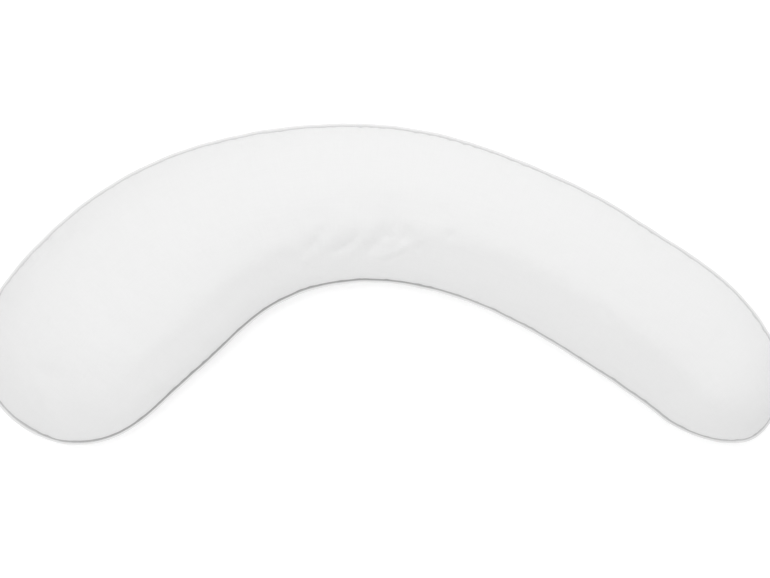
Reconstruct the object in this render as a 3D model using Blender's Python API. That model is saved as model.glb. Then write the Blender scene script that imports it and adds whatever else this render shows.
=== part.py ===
"""Crescent body pillow: two cut cotton panels, sewn together round their edge and filled, lying on its back.

Metres, +Z up. The origin lies on the resting surface, under the middle of the pillow's outline.
The arms reach towards -Y, and the wide end is at -X.
"""

import math

import bmesh
import bpy
import numpy as np

# How the filled pillow sits.
SEAM_HEIGHT = 0.076  # of the edge seam over the resting surface
BELLY_SHARE = 0.95  # how deep the lower panel would hang under the seam, as a share of the crown
ROLL = 0.006  # over this height the lower panel rolls on to the resting surface

# The side of the filled tube. A fullness of 0.5 is a half ellipse, and less is squarer.
FULLNESS = 0.46
SEAM_RIDGE = 0.15  # 0 has no ridge at the seam, and more gives a sharper one

# The two closed ends are domes; the length of each, along the middle line.
WIDE_DOME = 0.260
NARROW_DOME = 0.140

# One row for each section across the tube, from the wide end's tip to the narrow end's tip.
# x, y: where the middle of the section is in plan
# half_width: from there to the seam on either side, before a dome closes it
# crown: how far the upper panel rises over the seam
SECTION_COLUMNS = ("x", "y", "half_width", "crown")
SECTIONS = (
    (-0.700, -0.265, 0.230, 0.100),
    (-0.555, -0.090, 0.190, 0.106),
    (-0.470, -0.010, 0.190, 0.108),
    (-0.335, 0.085, 0.174, 0.104),
    (-0.195, 0.137, 0.156, 0.099),
    (-0.060, 0.154, 0.148, 0.095),
    (0.075, 0.142, 0.144, 0.094),
    (0.205, 0.103, 0.140, 0.095),
    (0.340, 0.042, 0.140, 0.096),
    (0.475, -0.041, 0.139, 0.096),
    (0.585, -0.120, 0.136, 0.094),
    (0.715, -0.290, 0.100, 0.088),
)

# Where the tube bends, the upper panel is too long for the inside of the bend, and folds up a little.
# One row for each soft fold, from its foot near the inside seam to its head near the middle line.
# depth: how far a trough sinks; a ridge has a negative one
FOLD_COLUMNS = ("foot_x", "foot_y", "head_x", "head_y", "half_width", "depth")
FOLDS = (
    (-0.150, 0.044, -0.126, 0.104, 0.011, 0.0035),
    (-0.128, 0.046, -0.102, 0.102, 0.010, -0.0020),
    (-0.110, 0.056, -0.036, 0.118, 0.011, 0.0040),
    (-0.080, 0.054, -0.018, 0.104, 0.009, -0.0025),
    (-0.055, 0.056, 0.030, 0.134, 0.012, 0.0045),
    (0.004, 0.074, 0.058, 0.124, 0.010, 0.0030),
    (-0.036, 0.042, 0.070, 0.090, 0.009, -0.0030),
    (0.056, 0.058, 0.084, 0.088, 0.009, 0.0025),
)

# How the surface is divided into facets. They lie closer together where the folds are.
WIDE_DOME_RINGS = 11
NARROW_DOME_RINGS = 8
BODY_RINGS = 68
UPPER_STEPS = 30
LOWER_STEPS = 14
FOLD_STRETCH = (0.680, 0.970)  # of the middle line, from the wide end's tip
FOLD_BAND = (-0.60, -0.05)  # of the upper panel, from -1 at the inside seam to 1 at the outside one
CLOSER = 3.0

STEP_FOR_SLOPE = 1e-4  # either side of a section, to find which way the middle line runs there


def columns(rows, names):
    """The rows as one array for each named column."""
    return dict(zip(names, np.array(rows).T))


def smooth_through(knots, values, at):
    """Natural cubic spline: a cubic from knot to knot, with equal slope and bend where two meet.

    The bends (second derivatives) solve one line of a linear system for each inner knot, and are zero
    at both ends, so the curve runs out straight.
    """
    gap = np.diff(knots)
    slope = np.diff(values, axis=0) / gap[:, None]
    system = np.eye(len(knots))
    change = np.zeros_like(values)
    for i in range(1, len(knots) - 1):
        system[i, i - 1 : i + 2] = gap[i - 1], 2 * (gap[i - 1] + gap[i]), gap[i]
        change[i] = 6 * (slope[i] - slope[i - 1])
    bend = np.linalg.solve(system, change)
    k = np.clip(np.searchsorted(knots, at, side="right") - 1, 0, len(gap) - 1)
    span = gap[k][:, None]
    after = (at - knots[k])[:, None]
    before = (knots[k + 1] - at)[:, None]
    chord = (before * values[k] + after * values[k + 1]) / span
    start_bow = (before**3 / span - before * span) * bend[k]
    end_bow = (after**3 / span - after * span) * bend[k + 1]
    return chord + (start_bow + end_bow) / 6


def section_places():
    """How far along the middle line each row of SECTIONS lies."""
    middles = np.array(SECTIONS)[:, :2]
    return np.concatenate([[0.0], np.cumsum(np.hypot(*np.diff(middles, axis=0).T))])


def sections_at(places):
    """The columns of SECTIONS at any places along the middle line."""
    return columns(smooth_through(section_places(), np.array(SECTIONS), places), SECTION_COLUMNS)


def closer_in(zone, start, stop, steps):
    """Places from start to stop, CLOSER times as close together inside the zone.

    The stretched length counts each part of the way CLOSER times over while it is in the zone. Places
    that are even in the stretched length are then read back as true ones.
    """
    corners = np.array([start, zone[0], zone[1], stop])
    stretched = np.concatenate([[0.0], np.cumsum(np.diff(corners) * (1.0, CLOSER, 1.0))])
    return np.interp(np.linspace(0, stretched[-1], steps + 1), stretched, corners)


def dome_places(length, rings):
    """How far into a dome its rings lie, from the tip: length times one less the cosine of even turns."""
    return length * (1 - np.cos(np.linspace(0, math.pi / 2, rings + 1)))


def ring_places(length):
    """Where the rings lie along the middle line, from the wide end's tip to the narrow end's tip."""
    wide = dome_places(WIDE_DOME, WIDE_DOME_RINGS)
    narrow = length - dome_places(NARROW_DOME, NARROW_DOME_RINGS)[::-1]
    body = closer_in(FOLD_STRETCH, wide[-1], narrow[0], BODY_RINGS)
    return np.concatenate([wide, body[1:-1], narrow])


def round_places():
    """The points of one ring, from the inside seam over the crown to the outside seam and back below.

    Returns each point's place, -1 at the inside seam and 1 at the outside one, and whether it is on
    the upper panel.
    """
    upper = closer_in(FOLD_BAND, -1, 1, UPPER_STEPS)[:-1]
    lower = np.linspace(1, -1, LOWER_STEPS + 1)[:-1]
    return np.concatenate([upper, lower]), np.arange(UPPER_STEPS + LOWER_STEPS) < UPPER_STEPS


def filled(room):
    """Height of the filled cloth as a share of its crown: room to the power of FULLNESS.

    room is 1 on the middle line and 0 at the seam. SEAM_RIDGE shifts it, so that the two panels meet
    at an angle.
    """
    floor = SEAM_RIDGE ** (2 * FULLNESS)
    return ((room + SEAM_RIDGE**2) ** FULLNESS - floor) / ((1 + SEAM_RIDGE**2) ** FULLNESS - floor)


def fold_depth(x, y):
    """How far the folds sink the upper panel at each point in plan: a bell across each, a hump along it."""
    depth = np.zeros_like(x)
    for row in FOLDS:
        fold = dict(zip(FOLD_COLUMNS, row))
        run_x = fold["head_x"] - fold["foot_x"]
        run_y = fold["head_y"] - fold["foot_y"]
        length = math.hypot(run_x, run_y)
        from_x = x - fold["foot_x"]
        from_y = y - fold["foot_y"]
        along = (from_x * run_x + from_y * run_y) / length**2
        aside = (from_y * run_x - from_x * run_y) / length
        hump = np.sin(math.pi * np.clip(along, 0, 1))
        depth += fold["depth"] * hump * np.exp(-((aside / fold["half_width"]) ** 2))
    return depth


def laid_down(z):
    """Heights with none under the resting surface: those below it become 0, over a short smooth roll."""
    rolling = (z + ROLL) ** 2 / (4 * ROLL)
    return np.where(z < -ROLL, 0.0, np.where(z > ROLL, z, rolling))


def pillow_points():
    """The points of the pillow's surface, ring by ring. The first and last rings are the two tips."""
    length = section_places()[-1]
    places = ring_places(length)
    section = sections_at(places)
    ahead = sections_at(places + STEP_FOR_SLOPE)
    behind = sections_at(places - STEP_FOR_SLOPE)
    run_x = ahead["x"] - behind["x"]
    run_y = ahead["y"] - behind["y"]
    run = np.hypot(run_x, run_y)

    into_wide = 1 - places / WIDE_DOME
    into_narrow = 1 - (length - places) / NARROW_DOME
    room_along = 1 - np.clip(np.maximum(into_wide, into_narrow), 0, 1) ** 2
    half_width = section["half_width"] * np.sqrt(room_along)

    place, is_upper = round_places()
    aside = np.outer(half_width, np.sin(place * math.pi / 2))
    x = section["x"][:, None] - (run_y / run)[:, None] * aside
    y = section["y"][:, None] + (run_x / run)[:, None] * aside
    height = filled(np.outer(room_along, np.cos(place * math.pi / 2) ** 2)) * section["crown"][:, None]
    upper = SEAM_HEIGHT + height - fold_depth(x, y)
    lower = laid_down(SEAM_HEIGHT - BELLY_SHARE * height)
    points = np.stack([x, y, np.where(is_upper, upper, lower)], axis=2)
    points[..., :2] -= (points[..., :2].min(axis=(0, 1)) + points[..., :2].max(axis=(0, 1))) / 2
    return points


def white_cotton():
    """Plain woven white cotton: nearly white, and matt."""
    material = bpy.data.materials.new("white_cotton")
    material.use_nodes = True
    shader = material.node_tree.nodes["Principled BSDF"]
    shader.inputs["Base Color"].default_value = (0.80, 0.80, 0.79, 1.0)
    shader.inputs["Roughness"].default_value = 0.85
    shader.inputs["Metallic"].default_value = 0.0
    return material


def make_pillow(collection):
    """The filled pillow: the rings of a sphere, carried out to the sections of the crescent."""
    points = pillow_points()
    rings, steps = points.shape[:2]
    shape = bmesh.new()
    bmesh.ops.create_uvsphere(shape, u_segments=steps, v_segments=rings - 1, radius=1.0)
    for vertex in shape.verts:
        polar = math.acos(max(-1.0, min(1.0, vertex.co.z)))
        turn = math.atan2(vertex.co.y, vertex.co.x)
        ring = round(polar / math.pi * (rings - 1))
        step = round(turn / math.tau * steps) % steps
        vertex.co = points[ring, step]
    mesh = bpy.data.meshes.new("pillow")
    shape.to_mesh(mesh)
    shape.free()
    mesh.shade_smooth()
    mesh.materials.append(white_cotton())
    collection.objects.link(bpy.data.objects.new("pillow", mesh))


def main():
    for old in list(bpy.data.objects):
        bpy.data.objects.remove(old)
    parts = bpy.data.collections.new("body_pillow")
    bpy.context.scene.collection.children.link(parts)
    make_pillow(parts)


main()
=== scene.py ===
"""A crescent body pillow in white cotton, lying face up on a pale studio floor."""

import math

import bpy
import numpy as np
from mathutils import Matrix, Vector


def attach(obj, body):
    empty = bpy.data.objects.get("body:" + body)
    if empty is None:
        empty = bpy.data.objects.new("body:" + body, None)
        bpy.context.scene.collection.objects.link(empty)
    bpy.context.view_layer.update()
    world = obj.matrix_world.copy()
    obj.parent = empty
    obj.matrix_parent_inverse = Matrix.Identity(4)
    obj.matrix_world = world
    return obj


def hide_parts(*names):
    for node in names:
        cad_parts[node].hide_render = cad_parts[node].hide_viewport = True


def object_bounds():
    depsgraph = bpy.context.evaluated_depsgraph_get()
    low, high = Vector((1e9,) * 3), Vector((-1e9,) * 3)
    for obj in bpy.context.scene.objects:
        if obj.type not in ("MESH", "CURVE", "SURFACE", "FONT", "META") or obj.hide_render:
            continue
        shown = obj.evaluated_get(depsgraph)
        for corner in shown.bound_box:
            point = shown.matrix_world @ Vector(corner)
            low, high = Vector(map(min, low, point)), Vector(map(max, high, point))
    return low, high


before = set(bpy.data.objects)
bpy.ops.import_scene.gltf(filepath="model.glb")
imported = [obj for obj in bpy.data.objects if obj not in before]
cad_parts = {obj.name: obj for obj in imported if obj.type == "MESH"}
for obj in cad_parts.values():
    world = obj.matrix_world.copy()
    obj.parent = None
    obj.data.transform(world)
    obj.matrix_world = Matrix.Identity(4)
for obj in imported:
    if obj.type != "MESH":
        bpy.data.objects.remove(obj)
cad_low, cad_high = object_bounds()


# ---- The two panels --------------------------------------------------------------------------------
# The pillow is two crescents of white cotton percale, cut to one outline that is wider at one end.
# They are sewn together inside out round the edge, turned through a gap, and filled with fibre.

SEAM_HEIGHT = 0.076  # metres, as all lengths here
BELLY_SHARE = 0.95  # how deep the lower panel would hang under the seam, as a share of the crown
ROLL = 0.006  # over this height the lower panel rolls on to the floor
FULLNESS = 0.46  # 0.5 is a half ellipse, and less is squarer
SEAM_RIDGE = 0.15  # 0 has no ridge at the seam, and more gives a sharper one
WIDE_DOME = 0.260  # how far each closed end reaches along the middle line
NARROW_DOME = 0.140

# One row for each section across the pillow, from the wide end's tip to the narrow end's tip.
# x, y: where its middle is in plan
# half_width: from there to the seam on either side, before a dome closes it
# crown: how far the upper panel rises over the seam
SECTION_COLUMNS = ("x", "y", "half_width", "crown")
HALF_WIDTH = SECTION_COLUMNS.index("half_width")
CROWN = SECTION_COLUMNS.index("crown")
SECTIONS = (
    (-0.700, -0.265, 0.230, 0.100),
    (-0.555, -0.090, 0.190, 0.106),
    (-0.470, -0.010, 0.190, 0.108),
    (-0.335, 0.085, 0.174, 0.104),
    (-0.195, 0.137, 0.156, 0.099),
    (-0.060, 0.154, 0.148, 0.095),
    (0.075, 0.142, 0.144, 0.094),
    (0.205, 0.103, 0.140, 0.095),
    (0.340, 0.042, 0.140, 0.096),
    (0.475, -0.041, 0.139, 0.096),
    (0.585, -0.120, 0.136, 0.094),
    (0.715, -0.290, 0.100, 0.088),
)

STEP_FOR_SLOPE = 1e-4  # either side of a section, to find which way the middle line runs there
STEP_TO_SEAM = 0.03  # of the way from the middle to the seam, to find which way leads out of it
NOT_ZERO = 1e-9  # the least that a length is divided by

section_rows = np.array(SECTIONS)
section_gaps = np.hypot(*np.diff(section_rows[:, :2], axis=0).T)
section_places = np.concatenate([[0.0], np.cumsum(section_gaps)])
body_length = section_places[-1] - WIDE_DOME - NARROW_DOME


def smooth_through(knots, values, at):
    """Natural cubic spline: a cubic from knot to knot, with equal slope and bend where two meet.

    The bends (second derivatives) solve one line of a linear system for each inner knot, and are zero
    at both ends, so the curve runs out straight.
    """
    gap = np.diff(knots)
    slope = np.diff(values, axis=0) / gap[:, None]
    system = np.eye(len(knots))
    change = np.zeros_like(values)
    for i in range(1, len(knots) - 1):
        system[i, i - 1 : i + 2] = gap[i - 1], 2 * (gap[i - 1] + gap[i]), gap[i]
        change[i] = 6 * (slope[i] - slope[i - 1])
    bend = np.linalg.solve(system, change)
    k = np.clip(np.searchsorted(knots, at, side="right") - 1, 0, len(gap) - 1)
    span = gap[k][..., None]
    after = (at - knots[k])[..., None]
    before = (knots[k + 1] - at)[..., None]
    chord = (before * values[k] + after * values[k + 1]) / span
    start_bow = (before**3 / span - before * span) * bend[k]
    end_bow = (after**3 / span - after * span) * bend[k + 1]
    return chord + (start_bow + end_bow) / 6


def end_reach(rows):
    """How far a dome reaches along the middle line, and which way: towards the wide tip is minus."""
    return np.where(rows < 1, -WIDE_DOME, np.where(rows > 2, NARROW_DOME, 0.0))


def places_on_panel(rows, turns):
    """Where each grid point lies: its place along the middle line, and its direction (end, side, up).

    Rows run over the wide dome from 0 to 1, the body to 2 and the narrow dome to 3. Along a row the
    direction turns a quarter to each side. A dome is a quarter of a ball with four edges, all arcs:
    its first section, its seam on either side, and its seam round the tip. A point inside it is the
    sum of what the two pairs of edges give, less what their corners give, pushed out to the ball.
    """
    into = np.clip(np.maximum(1 - rows, rows - 2), 0, 1)[:, None]
    turn = turns[None, :]
    corner = math.sqrt(0.5)
    quarter = math.pi / 2
    end = into * np.cos(turn * quarter / 2) + np.sin(into * quarter / 2) - into * corner
    side_of_rows = (1 - into) * np.sin(turn * quarter) + into * np.sin(turn * quarter / 2)
    side = side_of_rows + turn * (np.cos(into * quarter / 2) - (1 - into) - into * corner)
    up = (1 - into) * np.cos(turn * quarter)
    out = np.stack([end, side, up], axis=2)
    out /= np.linalg.norm(out, axis=2, keepdims=True)
    along_body = WIDE_DOME + body_length * np.clip(rows - 1, 0, 1)
    return along_body[:, None] + out[..., 0] * end_reach(rows)[:, None], out


def in_plan(along, side):
    """Plan points beside the middle line, and the crown there.

    Each is the middle line's point, plus its leftward normal times half width times side.
    """
    section = smooth_through(section_places, section_rows, along)
    ahead = smooth_through(section_places, section_rows, along + STEP_FOR_SLOPE)[..., :2]
    behind = smooth_through(section_places, section_rows, along - STEP_FOR_SLOPE)[..., :2]
    run = (ahead - behind) / np.linalg.norm(ahead - behind, axis=-1, keepdims=True)
    left = np.stack([-run[..., 1], run[..., 0]], axis=-1)
    return section[..., :2] + left * (section[..., HALF_WIDTH] * side)[..., None], section[..., CROWN]


def filled(room):
    """Height of the filled cloth as a share of its crown: room to the power of FULLNESS.

    room is 1 on the middle line and 0 at the seam. SEAM_RIDGE shifts it, so that the two panels meet
    at an angle.
    """
    floor = SEAM_RIDGE ** (2 * FULLNESS)
    return ((room + SEAM_RIDGE**2) ** FULLNESS - floor) / ((1 + SEAM_RIDGE**2) ** FULLNESS - floor)


def laid_down(z):
    """Heights under the floor become 0, over a short smooth roll: (z + ROLL) squared over 4 ROLL."""
    rolling = (z + ROLL) ** 2 / (4 * ROLL)
    return np.where(z < -ROLL, 0.0, np.where(z > ROLL, z, rolling))


def panels(rows, turns):
    """The upper and the lower panel as grids of points.

    The upper one rises over the seam by the filled share of the crown. The lower one hangs under it
    by BELLY_SHARE of that, and is laid down on the floor. With them come the seam point that each
    grid point faces, the way out across the seam there, and how far that is on the inside of the
    bend, from 0 to 1.
    """
    along, out = places_on_panel(rows, turns)
    plan, crown = in_plan(along, out[..., 1])
    reach = np.maximum(np.hypot(out[..., 0], out[..., 1]), NOT_ZERO)
    to_end = end_reach(rows)[:, None]
    seam_along = along + to_end * (out[..., 0] / reach - out[..., 0])
    seam_plan, _ = in_plan(seam_along, out[..., 1] / reach)
    short_along = seam_along - STEP_TO_SEAM * to_end * out[..., 0] / reach
    short_plan, _ = in_plan(short_along, (1 - STEP_TO_SEAM) * out[..., 1] / reach)
    way_out = seam_plan - short_plan
    way_out /= np.maximum(np.linalg.norm(way_out, axis=2, keepdims=True), NOT_ZERO)
    middle = (plan.min(axis=(0, 1)) + plan.max(axis=(0, 1))) / 2
    height = filled(out[..., 2] ** 2) * crown
    upper = np.dstack([plan - middle, SEAM_HEIGHT + height])
    lower = np.dstack([plan - middle, laid_down(SEAM_HEIGHT - BELLY_SHARE * height)])
    seam = np.dstack([seam_plan - middle, np.full_like(height, SEAM_HEIGHT)])
    return upper, lower, seam, way_out, (1 - out[..., 1] / reach) / 2


def in_steps(stops, counts):
    """Places from the first stop to the last, in even steps between each two stops."""
    pieces = [np.linspace(a, b, n + 1)[:-1] for a, b, n in zip(stops[:-1], stops[1:], counts)]
    return np.concatenate([*pieces, stops[-1:]])


# Each panel is a grid of points: rows from the wide tip to the narrow tip, and turns from the inside
# of the bend to the outside. The rows lie closer together at the bend. The turns lie closer together
# towards the seam: even ones, plus CLOSER_AT_SEAM times a sine that is 0 there and on the middle line.
ROW_STOPS = (0.0, 1.0, 1.38, 1.66, 2.0, 3.0)
ROW_COUNTS = (56, 92, 116, 84, 36)
TURN_COUNT = 124
CLOSER_AT_SEAM = 0.16

fine_rows = in_steps(ROW_STOPS, ROW_COUNTS)
fine_turns = np.linspace(-1, 1, TURN_COUNT + 1)
fine_turns += CLOSER_AT_SEAM * np.sin(math.pi * fine_turns)
upper, lower, seam, way_out, inside = panels(fine_rows, fine_turns)


# ---- The filling -----------------------------------------------------------------------------------
# Loose fibre presses the panels out until the cotton is taut. Flat cloth can't follow the round form
# everywhere, so it gathers a little along the outside of the bend and folds up on the inside. The
# Cloth solver finds this on an even grid of cells about 8 mm wide, which needs no remesh.

EVEN_ROW_STOPS = (0.0, 1.0, 2.0, 3.0)
EVEN_ROW_COUNTS = (34, 148, 20)
EVEN_TURN_COUNT = 50
PRESSURE = 4.0
POINT_MASS = 0.15
STIFFNESS = 80
BENDING_STIFFNESS = 2
SOLVER_QUALITY = 6
LAST_STEP = 20
NOISE_AFTER = 2  # rounds of smoothing that only take out noise
BROAD_AFTER = 80  # rounds of smoothing that leave only the broad part of a movement
KEPT = 0.45  # of the fine part
MOST_MOVED = 0.003
HELD_BY_SEAM = (0.008, 0.045)  # up to the first height over or under it nothing moves, past both all


def cell_corners(grid, up):
    """The four corners of each cell of a grid, in the order of a face that looks up, or else down."""
    corners = [grid[:-1, :-1], grid[1:, :-1], grid[1:, 1:], grid[:-1, 1:]]
    return np.stack(corners if up else corners[::-1], axis=2).reshape(-1, 4, *grid.shape[2:])


def closed_mesh(name, upper, lower):
    """One mesh of two grids that share their border points, and the number of each grid point in it."""
    size = upper.shape[:2]
    top = np.arange(size[0] * size[1]).reshape(size)
    bottom = top.copy()
    bottom[1:-1, 1:-1] = top.size + np.arange((size[0] - 2) * (size[1] - 2)).reshape(size[0] - 2, -1)
    points = np.concatenate([upper.reshape(-1, 3), lower[1:-1, 1:-1].reshape(-1, 3)])
    faces = np.concatenate([cell_corners(top, True), cell_corners(bottom, False)])
    mesh = bpy.data.meshes.new(name)
    mesh.from_pydata(points.tolist(), [], faces.tolist())
    return mesh, top, bottom


def read_out(items, name, kind, each):
    """One value or vector of each mesh item as an array."""
    flat = np.empty(len(items) * each, kind)
    items.foreach_get(name, flat)
    return flat.reshape(-1, each)


def blown_up(mesh):
    """Where the mesh's points are after the Cloth solver has pressed it out from inside."""
    pad = bpy.data.objects.new("pad", mesh)
    bpy.context.scene.collection.objects.link(pad)
    cloth = pad.modifiers.new("pressure", "CLOTH").settings
    cloth.quality = SOLVER_QUALITY
    cloth.mass = POINT_MASS
    cloth.use_pressure = True
    cloth.uniform_pressure_force = PRESSURE
    cloth.effector_weights.gravity = 0
    cloth.tension_stiffness = STIFFNESS
    cloth.compression_stiffness = STIFFNESS
    cloth.bending_stiffness = BENDING_STIFFNESS
    for step in range(1, LAST_STEP + 1):
        bpy.context.scene.frame_set(step)
    ready = pad.evaluated_get(bpy.context.evaluated_depsgraph_get())
    after = read_out(bpy.data.meshes.new_from_object(ready).vertices, "co", np.float32, 3)
    bpy.data.objects.remove(pad)
    bpy.context.scene.frame_set(1)
    return after


def smoothed(mesh, field, rounds):
    """The field after each point has gone half way to its neighbours' mean, so many times."""
    pairs = read_out(mesh.edges, "vertices", np.int32, 2)
    here = np.concatenate([pairs[:, 0], pairs[:, 1]])
    there = np.concatenate([pairs[:, 1], pairs[:, 0]])
    neighbours = np.bincount(here, minlength=len(field))
    for _ in range(rounds):
        sums = [np.bincount(here, field[there, axis], len(field)) for axis in range(field.shape[1])]
        field = (field + np.stack(sums, axis=1) / neighbours[:, None]) / 2
    return field


def carried_over(field, rows, turns):
    """A grid of vectors at the fine rows and turns: splines down its columns, then along its rows."""
    by_row = smooth_through(rows, field.reshape(len(rows), -1), fine_rows)
    by_turn = by_row.reshape(len(fine_rows), len(turns), 3).swapaxes(0, 1)
    finer = smooth_through(turns, by_turn.reshape(len(turns), -1), fine_turns)
    return finer.reshape(len(fine_turns), len(fine_rows), 3).swapaxes(0, 1)


def eased(value, start, stop):
    """0 before start and 1 after stop, with the smooth step 3 t squared less 2 t cubed between."""
    t = np.clip((value - start) / (stop - start), 0, 1)
    return t * t * (3 - 2 * t)


even_rows = in_steps(EVEN_ROW_STOPS, EVEN_ROW_COUNTS)
even_turns = np.linspace(-1, 1, EVEN_TURN_COUNT + 1)
even_mesh, top, bottom = closed_mesh("even", *panels(even_rows, even_turns)[:2])
moved = blown_up(even_mesh) - read_out(even_mesh.vertices, "co", np.float32, 3)
fine = smoothed(even_mesh, moved, NOISE_AFTER) - smoothed(even_mesh, moved, BROAD_AFTER)
fine *= KEPT
fine *= MOST_MOVED / np.maximum(np.linalg.norm(fine, axis=1, keepdims=True), MOST_MOVED)
for panel, numbers in ((upper, top), (lower, bottom)):
    from_seam_level = np.abs(panel[..., 2] - SEAM_HEIGHT)
    free = eased(from_seam_level, *HELD_BY_SEAM)[..., None]
    panel += carried_over(fine[numbers], even_rows, even_turns) * free
lower[..., 2] = laid_down(lower[..., 2])


# ---- The folds -------------------------------------------------------------------------------------
# Inside the bend the upper panel is too long, and stands in a fan of soft folds between the inside
# seam and the middle line. They are uneven: some are short and round, and one is long. The lower
# panel has its own, and fibre lies in faint lumps under the cotton.

# A soft shoulder runs along the inside half of the upper panel, and from there the flank falls
# flatter to the seam. One row for each place along the middle line: how far in from the seam it is.
SHOULDER_PATH = (
    (0.20, 0.086),
    (0.60, 0.090),
    (0.90, 0.104),
    (1.20, 0.112),
    (1.42, 0.099),
    (1.62, 0.076),
)
SHOULDER_WIDTH = 0.024
SHOULDER_RISE = 0.0019
FLANK_SHARE = 0.5  # of the way from the seam to the shoulder: where the flank sinks most
FLANK_WIDTH = 0.034
FLANK_DEPTH = 0.0046
FLANK_BELL = 2.2  # 2 is a bell curve, and more has a flatter bottom
DOME_FADE = (0.4, 1.1)  # rows over which shoulder and flank grow, from either tip
FREE_OF_SEAM = (0.0, 0.010)  # from the seam: folds and flank start, and have their full depth

# One row for each fold. Most lie inside the bend, one in the narrow arm, and two in the wide end.
# foot, middle, head: where its path runs in plan
# left_width, right_width: how wide it is to each side of that path
# depth: how far a trough sinks; a ridge has a negative one
FOLD_COLUMNS = ("foot", "middle", "head", "left_width", "right_width", "depth")
UPPER_FOLDS = (
    ((-0.142, 0.048), (-0.122, 0.076), (-0.098, 0.112), 0.0140, 0.0070, 0.0062),
    ((-0.130, 0.102), (-0.115, 0.100), (-0.096, 0.093), 0.0080, 0.0060, 0.0022),
    ((-0.151, 0.037), (-0.142, 0.039), (-0.133, 0.042), 0.0060, 0.0060, -0.0020),
    ((-0.122, 0.048), (-0.110, 0.065), (-0.095, 0.085), 0.0060, 0.0080, -0.0022),
    ((-0.104, 0.051), (-0.062, 0.070), (-0.030, 0.108), 0.0140, 0.0060, 0.0058),
    ((-0.070, 0.050), (-0.049, 0.063), (-0.022, 0.092), 0.0050, 0.0080, -0.0020),
    ((-0.034, 0.043), (0.000, 0.080), (0.042, 0.128), 0.0190, 0.0090, 0.0080),
    ((0.006, 0.080), (0.018, 0.087), (0.034, 0.094), 0.0080, 0.0060, 0.0034),
    ((0.040, 0.070), (0.049, 0.091), (0.060, 0.118), 0.0170, 0.0150, 0.0044),
    ((-0.030, 0.042), (0.022, 0.057), (0.074, 0.086), 0.0090, 0.0070, -0.0044),
    ((0.064, 0.055), (0.074, 0.066), (0.088, 0.081), 0.0100, 0.0060, 0.0034),
    ((0.122, 0.080), (0.132, 0.089), (0.143, 0.101), 0.0100, 0.0060, 0.0024),
    ((-0.220, 0.050), (-0.020, 0.082), (0.190, 0.054), 0.0240, 0.0240, -0.0030),
    ((0.406, -0.026), (0.422, -0.052), (0.440, -0.080), 0.0060, 0.0110, 0.0018),
    ((-0.664, -0.186), (-0.628, -0.166), (-0.582, -0.178), 0.0150, 0.0170, 0.0034),
    ((-0.648, -0.238), (-0.654, -0.212), (-0.650, -0.186), 0.0110, 0.0110, 0.0018),
)
LOWER_FOLDS = (
    ((-0.150, 0.062), (-0.128, 0.092), (-0.104, 0.112), 0.0110, 0.0060, 0.0030),
    ((-0.084, 0.066), (-0.058, 0.088), (-0.040, 0.124), 0.0120, 0.0070, 0.0042),
    ((0.004, 0.058), (0.016, 0.084), (0.018, 0.120), 0.0080, 0.0120, 0.0050),
    ((0.072, 0.062), (0.082, 0.086), (0.108, 0.110), 0.0130, 0.0070, 0.0036),
    ((0.146, 0.040), (0.162, 0.062), (0.176, 0.084), 0.0070, 0.0100, 0.0024),
)
PATH_STEPS = 24  # straight runs that a fold's path is made of
FOLD_ENDS = 0.45  # of its length, over which a fold grows from either end
FOLD_BELL = 1.7  # 2 is a bell curve, and less has a sharper bottom
NEAR_FOLD = 4  # times its width away from its path, nothing is left of a fold

# One row for each lump of fibre, or for a hollow between lumps, which has a negative height. The
# first four lie in the wide end, and the others further along.
LUMP_COLUMNS = ("x", "y", "reach_x", "reach_y", "height")
LUMPS = (
    (-0.672, -0.256, 0.020, 0.030, -0.0028),
    (-0.622, -0.258, 0.022, 0.032, 0.0034),
    (-0.562, -0.262, 0.024, 0.030, -0.0028),
    (-0.520, -0.150, 0.060, 0.045, 0.0012),
    (-0.400, 0.060, 0.060, 0.040, 0.0010),
    (0.620, -0.230, 0.045, 0.050, 0.0014),
    (0.300, 0.080, 0.070, 0.040, 0.0010),
)


def folds_sink(plan, rows):
    """How far folds sink a panel.

    Across each is a bell of the distance to its path, which may be wider on one side. Along it the
    depth is eased up from 0 at both ends. Folds that meet add up.
    """
    sunk = np.zeros(plan.shape[:2])
    for row in rows:
        fold = dict(zip(FOLD_COLUMNS, row))
        knots = np.array([fold["foot"], fold["middle"], fold["head"]])
        path = smooth_through(np.array([0.0, 0.5, 1.0]), knots, np.linspace(0, 1, PATH_STEPS + 1))
        run = np.diff(path, axis=0)
        room = np.ptp(knots, axis=0).sum() + NEAR_FOLD * max(fold["left_width"], fold["right_width"])
        near = np.linalg.norm(plan - fold["middle"], axis=2) < room
        from_start = plan[near][:, None] - path[:-1]
        share = np.clip((from_start * run).sum(axis=2) / (run**2).sum(axis=1), 0, 1)
        distances = np.linalg.norm(from_start - share[..., None] * run, axis=2)
        step = distances.argmin(axis=1)
        each = np.arange(len(step))
        left = run[step, 0] * from_start[each, step, 1] > run[step, 1] * from_start[each, step, 0]
        width = np.where(left, fold["left_width"], fold["right_width"])
        along = (step + share[each, step]) / PATH_STEPS
        hump = eased(np.minimum(along, 1 - along), 0, FOLD_ENDS)
        sunk[near] += fold["depth"] * hump * np.exp(-((distances[each, step] / width) ** FOLD_BELL))
    return sunk


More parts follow.
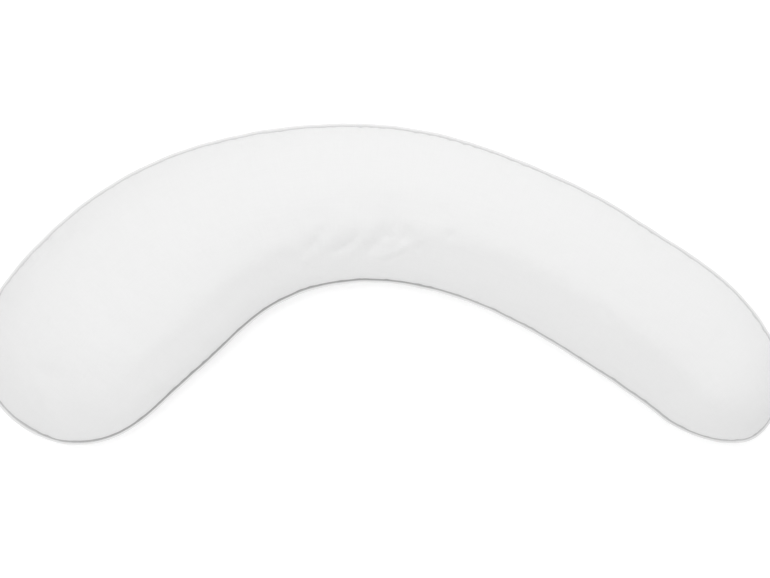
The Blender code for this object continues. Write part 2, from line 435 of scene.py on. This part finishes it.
def flank_sinks():
    """How far the flank sinks, less how far the shoulder rises: two bells that fade out over the domes."""
    along, out = places_on_panel(fine_rows, fine_turns)
    half_width = smooth_through(section_places, section_rows, along)[..., HALF_WIDTH]
    from_inside = half_width * (1 + out[..., 1])
    path = np.array(SHOULDER_PATH)
    place = smooth_through(path[:, 0], path[:, 1:], along)[..., 0]
    from_flank = np.abs(from_inside - FLANK_SHARE * place)
    flank = FLANK_DEPTH * np.exp(-((from_flank / FLANK_WIDTH) ** FLANK_BELL))
    shoulder = SHOULDER_RISE * np.exp(-(((from_inside - place) / SHOULDER_WIDTH) ** 2))
    return (flank - shoulder) * (eased(fine_rows, *DOME_FADE) * eased(3 - fine_rows, *DOME_FADE))[:, None]


def lumps_rise(plan):
    """How far the lumps lift the upper panel: a bell over each, as wide as its two reaches."""
    risen = np.zeros(plan.shape[:2])
    for row in LUMPS:
        lump = dict(zip(LUMP_COLUMNS, row))
        aside = (plan - (lump["x"], lump["y"])) / (lump["reach_x"], lump["reach_y"])
        risen += lump["height"] * np.exp(-(aside**2).sum(axis=2))
    return risen


def normals(panel, up):
    """Unit normals that point out of the pillow: the cross product of the grid's two directions."""
    across = np.cross(np.gradient(panel, axis=0), np.gradient(panel, axis=1)) * (1 if up else -1)
    return across / np.maximum(np.linalg.norm(across, axis=2, keepdims=True), NOT_ZERO)


upper_sunk = folds_sink(upper[..., :2], UPPER_FOLDS) + flank_sinks() - lumps_rise(upper[..., :2])
lower_sunk = folds_sink(lower[..., :2], LOWER_FOLDS)
for panel, up, sunk in ((upper, True, upper_sunk), (lower, False, lower_sunk)):
    sunk *= eased(np.linalg.norm(panel - seam, axis=2), *FREE_OF_SEAM)
    panel -= normals(panel, up) * sunk[..., None]


# ---- The seam --------------------------------------------------------------------------------------
# Turned right side out, the seam allowances lie flat inside, and the seam stands out as a narrow thin
# edge. The thread is a little shorter than the cotton, so the cotton gathers into small puckers
# beside it and the edge waves slightly.

EDGE_WIDTH = 0.0050
EDGE_OUT = (0.0040, 0.0060)  # past the filled form, outside the bend and inside it
EDGE_HALF_THICKNESS = 0.0010
RIM_WIDTH = EDGE_WIDTH / 3  # the rounded rim of the edge
STITCH_DIP = 0.7  # how much the stitching draws the edge together at its foot
DIP_START = 0.55  # of the edge's width, in from the rim
DRAWN_IN = 0.022  # the panels come back to their full form over this distance
FLOOR_HOLDS = 0.02  # below this height the floor holds the cotton, and it waves less

# The least and the most of a pucker: the gap from the last one, its depth, how far it reaches away
# from the seam, and its width.
PUCKER_GAP = (0.013, 0.042)
PUCKER_DEPTH = (0.0004, 0.0022)
PUCKER_REACH = (0.012, 0.044)
PUCKER_WIDTH = (0.0025, 0.0065)
PUCKER_SPREAD = 0.15  # how much wider it grows for each metre from the seam
PUCKER_SLANT = 0.3  # how much it leans to one side, as a typical slope
PUCKERS_END = (0.060, 0.090)  # from the seam, over which the last of each pucker fades out
INSIDE_SHARE = 0.6  # how deep puckers are on the inside of the bend

EDGE_WAVE = 0.0009  # how far the edge waves up and down
ASIDE_SHARE = 0.5  # how far it waves sideways, as a share of that
WAVES_ROUND = (17, 23, 31, 43, 58, 71)  # how often each sine repeats round the seam
WAVE_HEIGHT = (0.15, 0.45)  # the least and the most that each adds
SEAM_KNOTS = 1501  # points that the seam's length is summed over, on each side


def around_seam(rows, turns):
    """How far along the seam each grid point lies, and how long the seam is in all.

    Lengths are summed from the wide tip, and are negative inside the bend.
    """
    _, out = places_on_panel(rows, turns)
    share = np.arctan2(np.abs(out[..., 1]), out[..., 0]) * 2 / math.pi
    row = rows[:, None]
    place = np.where(row < 1, share, np.where(row > 2, 3 - share, row))
    knots = np.linspace(0, 3, SEAM_KNOTS)
    turn = np.where(knots < 1, knots, np.where(knots > 2, 3 - knots, 1.0)) * math.pi / 2
    along = WIDE_DOME + body_length * np.clip(knots - 1, 0, 1) + end_reach(knots) * np.cos(turn)
    lengths = []
    for side in (1, -1):
        line, _ = in_plan(along, side * np.sin(turn))
        steps = np.linalg.norm(np.diff(line, axis=0), axis=1)
        lengths.append(np.concatenate([[0.0], np.cumsum(steps)]))
    outer = np.interp(place, knots, lengths[0])
    inner = -np.interp(place, knots, lengths[1])
    return np.where(out[..., 1] >= 0, outer, inner), lengths[0][-1] + lengths[1][-1]


def puckers_sink(around, from_seam, round_length, chance):
    """How far the puckers sink a panel.

    Across each is a bell that widens away from the seam. Along it the depth rises from 0 at the seam
    to its full value at half of its reach, as t times e to the power of 1 - t, and fades again to
    nothing at the end of PUCKERS_END. Inside the bend they are less deep.
    """
    sunk = np.zeros_like(around)
    beside = from_seam < PUCKERS_END[1]
    place, distance = around[beside], from_seam[beside]
    strength = 1 - (1 - INSIDE_SHARE) * inside[beside]
    strength *= 1 - eased(distance, *PUCKERS_END)
    spots = np.cumsum(chance.uniform(*PUCKER_GAP, int(round_length / np.mean(PUCKER_GAP))))
    total = np.zeros_like(place)
    for spot in spots:
        reach = chance.uniform(*PUCKER_REACH) / 2
        width = chance.uniform(*PUCKER_WIDTH) + PUCKER_SPREAD * distance
        depth = chance.uniform(*PUCKER_DEPTH)
        slant = chance.normal(0, PUCKER_SLANT)
        aside = (place - spot - slant * distance + round_length / 2) % round_length - round_length / 2
        t = distance / reach
        total += depth * np.exp(-((aside / width) ** 2)) * t * np.exp(1 - t)
    sunk[beside] = total * strength
    return sunk


def waves(around, round_length, chance):
    """A sum of sines that close round the seam, with uneven heights and starts, between about -1 and 1."""
    total = np.zeros_like(around)
    for times in WAVES_ROUND:
        height = chance.uniform(*WAVE_HEIGHT)
        total += height * np.sin(math.tau * (times * around / round_length + chance.uniform()))
    return total


def drawn_in(panel, up):
    """The panel beside the seam, and how far from the seam each of its points was.

    Up to EDGE_WIDTH from the seam it is flat and runs straight out, to EDGE_OUT past the filled form,
    with a rounded rim and a dip at the stitching. Further up, it moves in by what that leaves of
    EDGE_WIDTH, and towards the seam's level by nearly EDGE_WIDTH, but stays over the foot of the
    edge. Both fade with the distance over DRAWN_IN.
    """
    rise = np.abs(panel[..., 2] - SEAM_HEIGHT)
    away = np.linalg.norm(panel - seam, axis=2)
    on_edge = away < EDGE_WIDTH
    fade = np.exp(-np.maximum(away - EDGE_WIDTH, 0) / DRAWN_IN)
    out = EDGE_OUT[0] + (EDGE_OUT[1] - EDGE_OUT[0]) * inside
    flat = seam[..., :2] + way_out * (out - away)[..., None]
    wall = panel[..., :2] - way_out * ((EDGE_WIDTH - out) * fade)[..., None]
    rim = np.sqrt(1 - (1 - np.clip(away / RIM_WIDTH, 0, 1)) ** 2)
    dip = STITCH_DIP * eased(away, DIP_START * EDGE_WIDTH, EDGE_WIDTH)
    low = EDGE_HALF_THICKNESS * (rim - dip)
    foot = EDGE_HALF_THICKNESS * (1 - STITCH_DIP)
    high = np.maximum(rise - (EDGE_WIDTH - foot) * fade, foot)
    plan = np.where(on_edge[..., None], flat, wall)
    height = SEAM_HEIGHT + (1 if up else -1) * np.where(on_edge, low, high)
    return np.dstack([plan, height]), away


SEED = 21

chance = np.random.default_rng(SEED)
around, round_length = around_seam(fine_rows, fine_turns)
edge_lift = EDGE_WAVE * waves(around, round_length, chance)
edge_shift = ASIDE_SHARE * EDGE_WAVE * waves(around, round_length, chance)
finished = []
for panel, up in ((upper, True), (lower, False)):
    distance = np.linalg.norm(panel - seam, axis=2)
    sunk = puckers_sink(around, distance, round_length, chance)
    panel = panel - normals(panel, up) * sunk[..., None]
    panel, away = drawn_in(panel, up)
    fade = np.exp(-away / DRAWN_IN) * eased(panel[..., 2], 0, FLOOR_HOLDS)
    panel[..., 2] += edge_lift * fade
    panel[..., :2] += way_out * (edge_shift * fade)[..., None]
    finished.append((panel, away))
(upper, upper_away), (lower, lower_away) = finished

pillow_mesh, top, bottom = closed_mesh("pillow_body", upper, lower)
pillow_mesh.shade_smooth()


def kept_on_points(name, upper_values, lower_values):
    """A value for each point of the mesh, which the cotton's pattern reads."""
    values = np.zeros(len(pillow_mesh.vertices), np.float32)
    values[bottom] = lower_values
    values[top] = upper_values
    pillow_mesh.attributes.new(name, "FLOAT", "POINT").data.foreach_set("value", values)


# How much shade is painted grey into the cotton along the stitching, from 0 to 1: fully inside the
# bend, less along the narrow arm, and least outside the bend.
NARROW_ARM_PAINTED_SHADE = 0.68
OUTSIDE_PAINTED_SHADE = 0.30
NARROW_ARM = (0.80, 1.15)  # places along the middle line, over which the shade fades to the arm's

seam_place, _ = places_on_panel(fine_rows, fine_turns)
inner_painted_shade = 1 - (1 - NARROW_ARM_PAINTED_SHADE) * eased(seam_place, *NARROW_ARM)
painted_seam_shade = OUTSIDE_PAINTED_SHADE + (inner_painted_shade - OUTSIDE_PAINTED_SHADE) * inside

kept_on_points("from_seam", upper_away, lower_away)
kept_on_points("around_seam", around, around)
kept_on_points("painted_seam_shade", painted_seam_shade, painted_seam_shade)


def cut_flat(panel):
    """Where each point lay on the flat cloth, in metres.

    The middle turn is unrolled into a straight line by its length. From there each row is laid out by
    the length of its steps: straight across on the body, and turning with the seam on a dome.
    """
    middle = len(fine_turns) // 2
    steps = np.linalg.norm(np.diff(panel[:, middle], axis=0), axis=1)
    start = np.concatenate([[0.0], np.cumsum(steps)])
    along, out = places_on_panel(fine_rows, fine_turns)
    reach = np.maximum(np.hypot(out[..., 0], out[..., 1]), NOT_ZERO)
    tilt = np.arccos(np.clip(out[..., 2], 0, 1)) / reach
    half_width = smooth_through(section_places, section_rows, along)[..., HALF_WIDTH]
    to_end = end_reach(fine_rows)[:, None]
    laid = np.dstack([out[..., 0] * to_end, out[..., 1] * half_width]) * tilt[..., None]
    way = np.diff(laid, axis=1)
    way /= np.linalg.norm(way, axis=2, keepdims=True)
    way *= np.linalg.norm(np.diff(panel, axis=1), axis=2, keepdims=True)
    flat = np.concatenate([np.zeros_like(way[:, :1]), np.cumsum(way, axis=1)], axis=1)
    flat -= flat[:, middle : middle + 1]
    flat[..., 0] += start[:, None]
    return flat


cut = np.concatenate([cell_corners(cut_flat(upper), True), cell_corners(cut_flat(lower), False)])
pillow_mesh.uv_layers.new(name="cut").data.foreach_set("uv", cut.ravel())

pillow = bpy.data.objects.new("pillow_body", pillow_mesh)
bpy.context.scene.collection.objects.link(pillow)
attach(pillow, "root")
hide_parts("pillow")


# ---- The cotton ------------------------------------------------------------------------------------
# Bleached cotton percale: combed cotton in a tight plain weave, about 35 threads to the centimetre
# each way. It gives the eye an even, matt white with a faint bloom at the rim. Some threads are
# thicker, and a line of shade is painted grey into the colour along the stitching.

COTTON_WHITE = "#E3E3E3"
# grey that is painted into the cotton along the stitching as shade
PAINTED_SEAM_SHADE = "#A4A4A4"
THREAD = 0.0009  # a real thread is 0.28 mm apart from the next, drawn three times as coarse to show
THREAD_HEIGHT = 0.6  # of a thread's ridge, on the average
OVER_AND_UNDER = 0.4  # how much higher it is where it goes over another, and lower where under
WEAVE_DEPTH = 0.00012
WAVER = 0.0020  # how far threads run out of line
WAVER_SPAN = 1 / 90  # 11 mm, from one waver to the next
SLUB_LENGTH = 1 / 14  # 71 mm of a thread is thicker at a time
SLUB_WIDTH = 1 / 420  # 2.4 mm; a real thick thread is 0.6 mm wide, drawn four times as coarse to show
SLUB_DEPTH = 0.00006
SLUB_SUMS = (0.7, 1.3)  # of the two noises, from the thinnest threads to the thickest
SLUB_TONES = (0.985, 1.0)
RUMPLE = 0.045  # from one soft rumple to the next
RUMPLE_DEPTH = 0.0022
STITCH = 0.0036  # a real stitch is 3 mm, drawn a little longer
STITCH_DEPTH = 0.0001
STITCHES_START = (0.6 * EDGE_WIDTH, EDGE_WIDTH)  # from the rim: the line of stitches grows here
STITCHES_END = (1.2 * EDGE_WIDTH, 1.8 * EDGE_WIDTH)  # and fades here


def linear(hex_colour):
    """sRGB hex to linear red, green, blue and 1, by the curve of the sRGB standard."""
    parts = [int(hex_colour[i : i + 2], 16) / 255 for i in (1, 3, 5)]
    return [c / 12.92 if c <= 0.04045 else ((c + 0.055) / 1.055) ** 2.4 for c in parts] + [1.0]


def add_node(tree, kind, inputs, **settings):
    """A node with its settings; each input gets a value, or a link from the output that is named."""
    node = tree.nodes.new(kind)
    for name, value in settings.items():
        setattr(node, name, value)
    for name, value in inputs.items():
        if isinstance(value, bpy.types.NodeSocket):
            tree.links.new(value, node.inputs[name])
        else:
            node.inputs[name].default_value = value
    return node.outputs


percale = bpy.data.materials.new("white_cotton_percale")
percale.use_nodes = True
tree = percale.node_tree
shader = tree.nodes["Principled BSDF"]
shader.inputs["Roughness"].default_value = 0.85
shader.inputs["Sheen Weight"].default_value = 0.15
shader.inputs["Sheen Roughness"].default_value = 0.5

on_cloth = add_node(tree, "ShaderNodeUVMap", {}, uv_map="cut")["UV"]
in_space = add_node(tree, "ShaderNodeTexCoord", {})["Object"]
from_seam = add_node(tree, "ShaderNodeAttribute", {}, attribute_name="from_seam")["Fac"]
along_seam = add_node(tree, "ShaderNodeAttribute", {}, attribute_name="around_seam")["Fac"]
# how much shade is painted along the stitching at each point
painted_shade_there = add_node(tree, "ShaderNodeAttribute", {}, attribute_name="painted_seam_shade")["Fac"]

# Each thread is a ridge, a sine across it, and goes over and under the next ones. The higher of the
# two shows: the ridge times THREAD_HEIGHT, with OVER_AND_UNDER of the product of both sines added for
# the warp and taken for the weft. The threads waver with a soft noise.
waver = add_node(
    tree,
    "ShaderNodeTexNoise",
    {"Vector": on_cloth, "Scale": 1 / WAVER_SPAN, "Detail": 1.0},
)["Color"]
wavering = add_node(
    tree,
    "ShaderNodeVectorMath",
    {0: waver, 1: (WAVER, WAVER, 0), 2: on_cloth},
    operation="MULTIPLY_ADD",
)["Vector"]
turned = add_node(
    tree,
    "ShaderNodeVectorMath",
    {0: wavering, "Scale": math.pi / THREAD},
    operation="SCALE",
)["Vector"]
threads = add_node(tree, "ShaderNodeSeparateXYZ", {0: turned})
warp = add_node(tree, "ShaderNodeMath", {0: threads["X"]}, operation="SINE")["Value"]
weft = add_node(tree, "ShaderNodeMath", {0: threads["Y"]}, operation="SINE")["Value"]
crossing = add_node(tree, "ShaderNodeMath", {0: warp, 1: weft}, operation="MULTIPLY")["Value"]
heights = []
for thread, share in ((warp, OVER_AND_UNDER), (weft, -OVER_AND_UNDER)):
    ridge = add_node(tree, "ShaderNodeMath", {0: thread}, operation="ABSOLUTE")["Value"]
    over = add_node(
        tree,
        "ShaderNodeMath",
        {0: crossing, 1: share, 2: THREAD_HEIGHT},
        operation="MULTIPLY_ADD",
    )["Value"]
    heights.append(add_node(tree, "ShaderNodeMath", {0: ridge, 1: over}, operation="MULTIPLY")["Value"])
weave = add_node(tree, "ShaderNodeMath", {0: heights[0], 1: heights[1]}, operation="MAXIMUM")["Value"]

# Thicker threads: noise stretched along the warp, plus the same along the weft. They are a little
# paler than thin ones.
slub_noises = []
for scale in ((1 / SLUB_LENGTH, 1 / SLUB_WIDTH, 1), (1 / SLUB_WIDTH, 1 / SLUB_LENGTH, 1)):
    stretched = add_node(tree, "ShaderNodeMapping", {"Vector": on_cloth, "Scale": scale})["Vector"]
    noise = add_node(tree, "ShaderNodeTexNoise", {"Vector": stretched, "Scale": 1.0, "Detail": 2.0})
    slub_noises.append(noise["Fac"])
slubs = add_node(
    tree,
    "ShaderNodeMath",
    {0: slub_noises[0], 1: slub_noises[1]},
    operation="ADD",
)["Value"]
slub_tone = add_node(
    tree,
    "ShaderNodeMapRange",
    {
        "Value": slubs,
        "From Min": SLUB_SUMS[0],
        "From Max": SLUB_SUMS[1],
        "To Min": SLUB_TONES[0],
        "To Max": SLUB_TONES[1],
    },
)["Result"]

# Soft rumples, where the cotton isn't quite taut.
rumples = add_node(
    tree,
    "ShaderNodeTexNoise",
    {"Vector": in_space, "Scale": 1 / RUMPLE, "Detail": 3.0, "Roughness": 0.45},
)["Fac"]

# The stitches: dimples that follow each other along the foot of the edge, where a line of shade is
# painted grey into the colour.
at_stitches = add_node(
    tree,
    "ShaderNodeMapRange",
    {"Value": from_seam, "From Min": STITCHES_START[0], "From Max": STITCHES_START[1]},
    interpolation_type="SMOOTHSTEP",
)["Result"]
past_stitches = add_node(
    tree,
    "ShaderNodeMapRange",
    {
        "Value": from_seam,
        "From Min": STITCHES_END[0],
        "From Max": STITCHES_END[1],
        "To Min": 1.0,
        "To Max": 0.0,
    },
    interpolation_type="SMOOTHSTEP",
)["Result"]
stitch_line = add_node(
    tree,
    "ShaderNodeMath",
    {0: at_stitches, 1: past_stitches},
    operation="MULTIPLY",
)["Value"]
stitch_turn = add_node(
    tree,
    "ShaderNodeMath",
    {0: along_seam, 1: math.tau / STITCH},
    operation="MULTIPLY",
)["Value"]
stitch_wave = add_node(tree, "ShaderNodeMath", {0: stitch_turn}, operation="SINE")["Value"]
stitches = add_node(
    tree,
    "ShaderNodeMath",
    {0: stitch_wave, 1: stitch_line},
    operation="MULTIPLY",
)["Value"]
# The painted shade: the line of stitches, times how much shade is painted there.
painted_seam_shadow = add_node(
    tree,
    "ShaderNodeMath",
    {0: stitch_line, 1: painted_shade_there},
    operation="MULTIPLY",
)["Value"]

# The colour: the cotton's white, with grey painted in as shade along the stitching. Inputs 6 and 7
# of a colour mix are its two colours, and output 2 is what it gives.
cotton = add_node(
    tree,
    "ShaderNodeMix",
    {"Factor": painted_seam_shadow, 6: linear(COTTON_WHITE), 7: linear(PAINTED_SEAM_SHADE)},
    data_type="RGBA",
)[2]
tone = add_node(tree, "ShaderNodeVectorMath", {0: cotton, "Scale": slub_tone}, operation="SCALE")["Vector"]
tree.links.new(tone, shader.inputs["Base Color"])

# The relief, from the softest to the finest.
relief = add_node(tree, "ShaderNodeBump", {"Height": rumples, "Distance": RUMPLE_DEPTH})["Normal"]
for bumps, depth in ((slubs, SLUB_DEPTH), (weave, WEAVE_DEPTH), (stitches, STITCH_DEPTH)):
    bump = add_node(tree, "ShaderNodeBump", {"Height": bumps, "Distance": depth, "Normal": relief})
    relief = bump["Normal"]
tree.links.new(relief, shader.inputs["Normal"])
pillow_mesh.materials.append(percale)


# ---- The studio ------------------------------------------------------------------------------------
# A white acrylic table, lit a little from below, under an even white surround. One broad soft light
# hangs overhead, and another stands on the outside of the bend.

FLOOR_HALF = 15.0  # half of its side
FLOOR_WHITE = "#FCFCFC"
FROM_BELOW = 0.10  # how strongly it glows
SURROUND = 0.804  # how strong the light from all round is
TOP_POWER = 40.0  # watts
TOP_SIZE = 2.6
TOP_HEIGHT = 3.6
TOP_PLACE = -0.45  # over the wide end rather than the middle
KEY_POWER = 28.5  # watts
KEY_SIZE = 1.6
KEY_DISTANCE = 4.5
KEY_TURN = 24.0  # degrees from +Y towards +X
KEY_HEIGHT = 30.0  # degrees above the floor

floor_mesh = bpy.data.meshes.new("studio_floor")
floor_corners = [(x * FLOOR_HALF, y * FLOOR_HALF, 0) for x, y in ((-1, -1), (1, -1), (1, 1), (-1, 1))]
floor_mesh.from_pydata(floor_corners, [], [(0, 1, 2, 3)])
floor = bpy.data.objects.new("studio_floor", floor_mesh)
bpy.context.scene.collection.objects.link(floor)

# White acrylic: cast opal sheet with a matt face. It gives the eye one even white, with soft shadows
# and no mirror image, and glows faintly with the light from below.
acrylic = bpy.data.materials.new("white_acrylic")
acrylic.use_nodes = True
floor_shader = acrylic.node_tree.nodes["Principled BSDF"]
floor_shader.inputs["Base Color"].default_value = linear(FLOOR_WHITE)
floor_shader.inputs["Roughness"].default_value = 1.0
floor_shader.inputs["Specular IOR Level"].default_value = 0.0
floor_shader.inputs["Emission Color"].default_value = (1, 1, 1, 1)
floor_shader.inputs["Emission Strength"].default_value = FROM_BELOW
floor_mesh.materials.append(acrylic)

world = bpy.data.worlds.new("surround")
world.use_nodes = True
world.node_tree.nodes["Background"].inputs["Color"].default_value = (1, 1, 1, 1)
world.node_tree.nodes["Background"].inputs["Strength"].default_value = SURROUND
bpy.context.scene.world = world
bpy.context.scene.view_settings.view_transform = "Standard"


def soft_light(name, size, power, place, tilt):
    """A round area light at a place, tilted from looking straight down."""
    lamp = bpy.data.lights.new(name, "AREA")
    lamp.shape = "DISK"
    lamp.size = size
    lamp.energy = power
    light = bpy.data.objects.new(name, lamp)
    light.location = place
    light.rotation_euler = tilt
    bpy.context.scene.collection.objects.link(light)


turn = math.radians(KEY_TURN)
height = math.radians(KEY_HEIGHT)
key_place = (
    KEY_DISTANCE * math.cos(height) * math.sin(turn),
    KEY_DISTANCE * math.cos(height) * math.cos(turn),
    KEY_DISTANCE * math.sin(height),
)
soft_light("overhead", TOP_SIZE, TOP_POWER, (TOP_PLACE, 0, TOP_HEIGHT), (0, 0, 0))
soft_light("key", KEY_SIZE, KEY_POWER, key_place, (math.pi / 2 - height, 0, math.pi - turn))


# ---- The camera ------------------------------------------------------------------------------------
# A camera on a boom arm over the table looks straight down through a long lens. Both ends of the
# pillow run a little out of its view.

LENS = 100.0  # millimetres, as the sensor
SENSOR = 36.0
VIEW_SHARE = 0.965  # of the pillow's length, seen across the view at the seam's height
VIEW_MIDDLE = (0.0092, -0.0099)  # the point that the camera is above

camera_data = bpy.data.cameras.new("camera")
camera_data.lens = LENS
camera_data.sensor_width = SENSOR
camera = bpy.data.objects.new("camera", camera_data)
view_width = VIEW_SHARE * (cad_high.x - cad_low.x)
camera.location = (*VIEW_MIDDLE, SEAM_HEIGHT + view_width * LENS / SENSOR)
bpy.context.scene.collection.objects.link(camera)
bpy.context.scene.camera = camera
